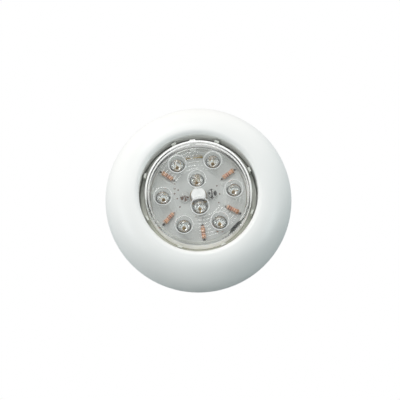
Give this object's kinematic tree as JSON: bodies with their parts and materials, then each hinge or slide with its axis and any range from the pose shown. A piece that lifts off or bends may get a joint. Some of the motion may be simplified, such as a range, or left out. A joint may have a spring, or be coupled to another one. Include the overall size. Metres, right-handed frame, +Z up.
{
  "type": "underwater pool light",
  "caption": "Small niche-less underwater pool light: domed white trim ring, clear lens with bullseyes over a round LED board, threaded stem and cable gland behind.",
  "frame": {"origin": "centre of the stem's neck in the plane of the flange's back face, where the lamp meets the wall", "axes": "+Y into the wall along the stem, so the lens faces -Y; +Z up; +X to the right of somebody facing the lens"},
  "size_m": [0.096, 0.0929, 0.096],
  "materials": {
    "trim_abs": "gloss white, UV-stable moulding",
    "body_abs": "satin white moulding",
    "ring_abs": "satin beige-grey moulding",
    "clear_polycarbonate": "polished, clear",
    "clear_epoxy": "water-clear diode epoxy",
    "seal_rubber": "smooth black rubber",
    "lens_silicone": "translucent white silicone",
    "board_laminate": "light grey solder mask on brown laminate",
    "power_laminate": "green solder mask on laminate",
    "tinned_wire": "tinned, slightly dull",
    "resistor_lacquer": "tan lacquer with colour bands",
    "stainless": "plain stainless steel",
    "moulded_epoxy": "black moulding compound",
    "capacitor_sleeve": "shrink sleeve, dark blue",
    "terminal_nylon": "green nylon",
    "wire_insulation": "white silicone insulation",
    "gland_nylon": "light grey nylon"
  },
  "bodies": {
    "housing": {"bezel_grip_ring": "seal_rubber", "lamp_body": "body_abs", "seat_gasket": "seal_rubber", "lens": "clear_polycarbonate", "lens_seal": "lens_silicone", "led_board": "board_laminate", "center_post": "body_abs", "led_1": "clear_epoxy", "led_2": "clear_epoxy", "led_3": "clear_epoxy", "led_4": "clear_epoxy", "led_5": "clear_epoxy", "led_6": "clear_epoxy", "led_7": "clear_epoxy", "led_8": "clear_epoxy", "pilot_led_1": "clear_epoxy", "pilot_led_2": "clear_epoxy", "led_leads": "tinned_wire", "resistor_1": "resistor_lacquer", "resistor_2": "resistor_lacquer", "resistor_3": "resistor_lacquer", "resistor_4": "resistor_lacquer", "resistor_5": "resistor_lacquer", "resistor_leads": "tinned_wire", "board_jumpers": "tinned_wire", "wire_grommet": "seal_rubber", "feed_wires": "wire_insulation", "rectifier_board": "power_laminate", "board_screws": "stainless", "bridge_rectifier": "moulded_epoxy", "capacitor": "capacitor_sleeve", "terminal_block": "terminal_nylon", "terminal_screws": "stainless", "rear_cap": "body_abs", "rear_cap_seal": "seal_rubber", "rear_cap_screws": "stainless", "gland_body": "gland_nylon", "gland_gasket": "seal_rubber", "gland_locknut": "gland_nylon", "gland_seal": "seal_rubber"},
    "bezel": {"bezel": "trim_abs"},
    "lens_ring": {"lens_ring": "ring_abs"},
    "gland_washer": {"gland_washer": "gland_nylon"},
    "gland_nut": {"gland_nut": "gland_nylon"}
  },
  "joints": [
    {"name": "bezel_pull", "type": "slide", "parent": "housing", "child": "bezel", "axis": [0, -1, 0], "range_m": [0, 0.03]},
    {"name": "lens_ring_turn", "type": "hinge", "parent": "housing", "child": "lens_ring", "pos_m": [0, -0.012, 0], "axis": [0, -1, 0], "range_deg": [0, 45]},
    {"name": "gland_washer_slide", "type": "slide", "parent": "housing", "child": "gland_washer", "axis": [0, 1, 0], "range_m": [0, 0.0045]},
    {"name": "gland_nut_turn", "type": "hinge", "parent": "gland_washer", "child": "gland_nut", "pos_m": [0, 0.06, 0], "axis": [0, 1, 0], "range_deg": [0, 1080]}
  ],
  "couplings": [
    {"joint": "gland_washer_slide", "follows": "gland_nut_turn", "m_per_rad": 0.00023873}
  ]
}
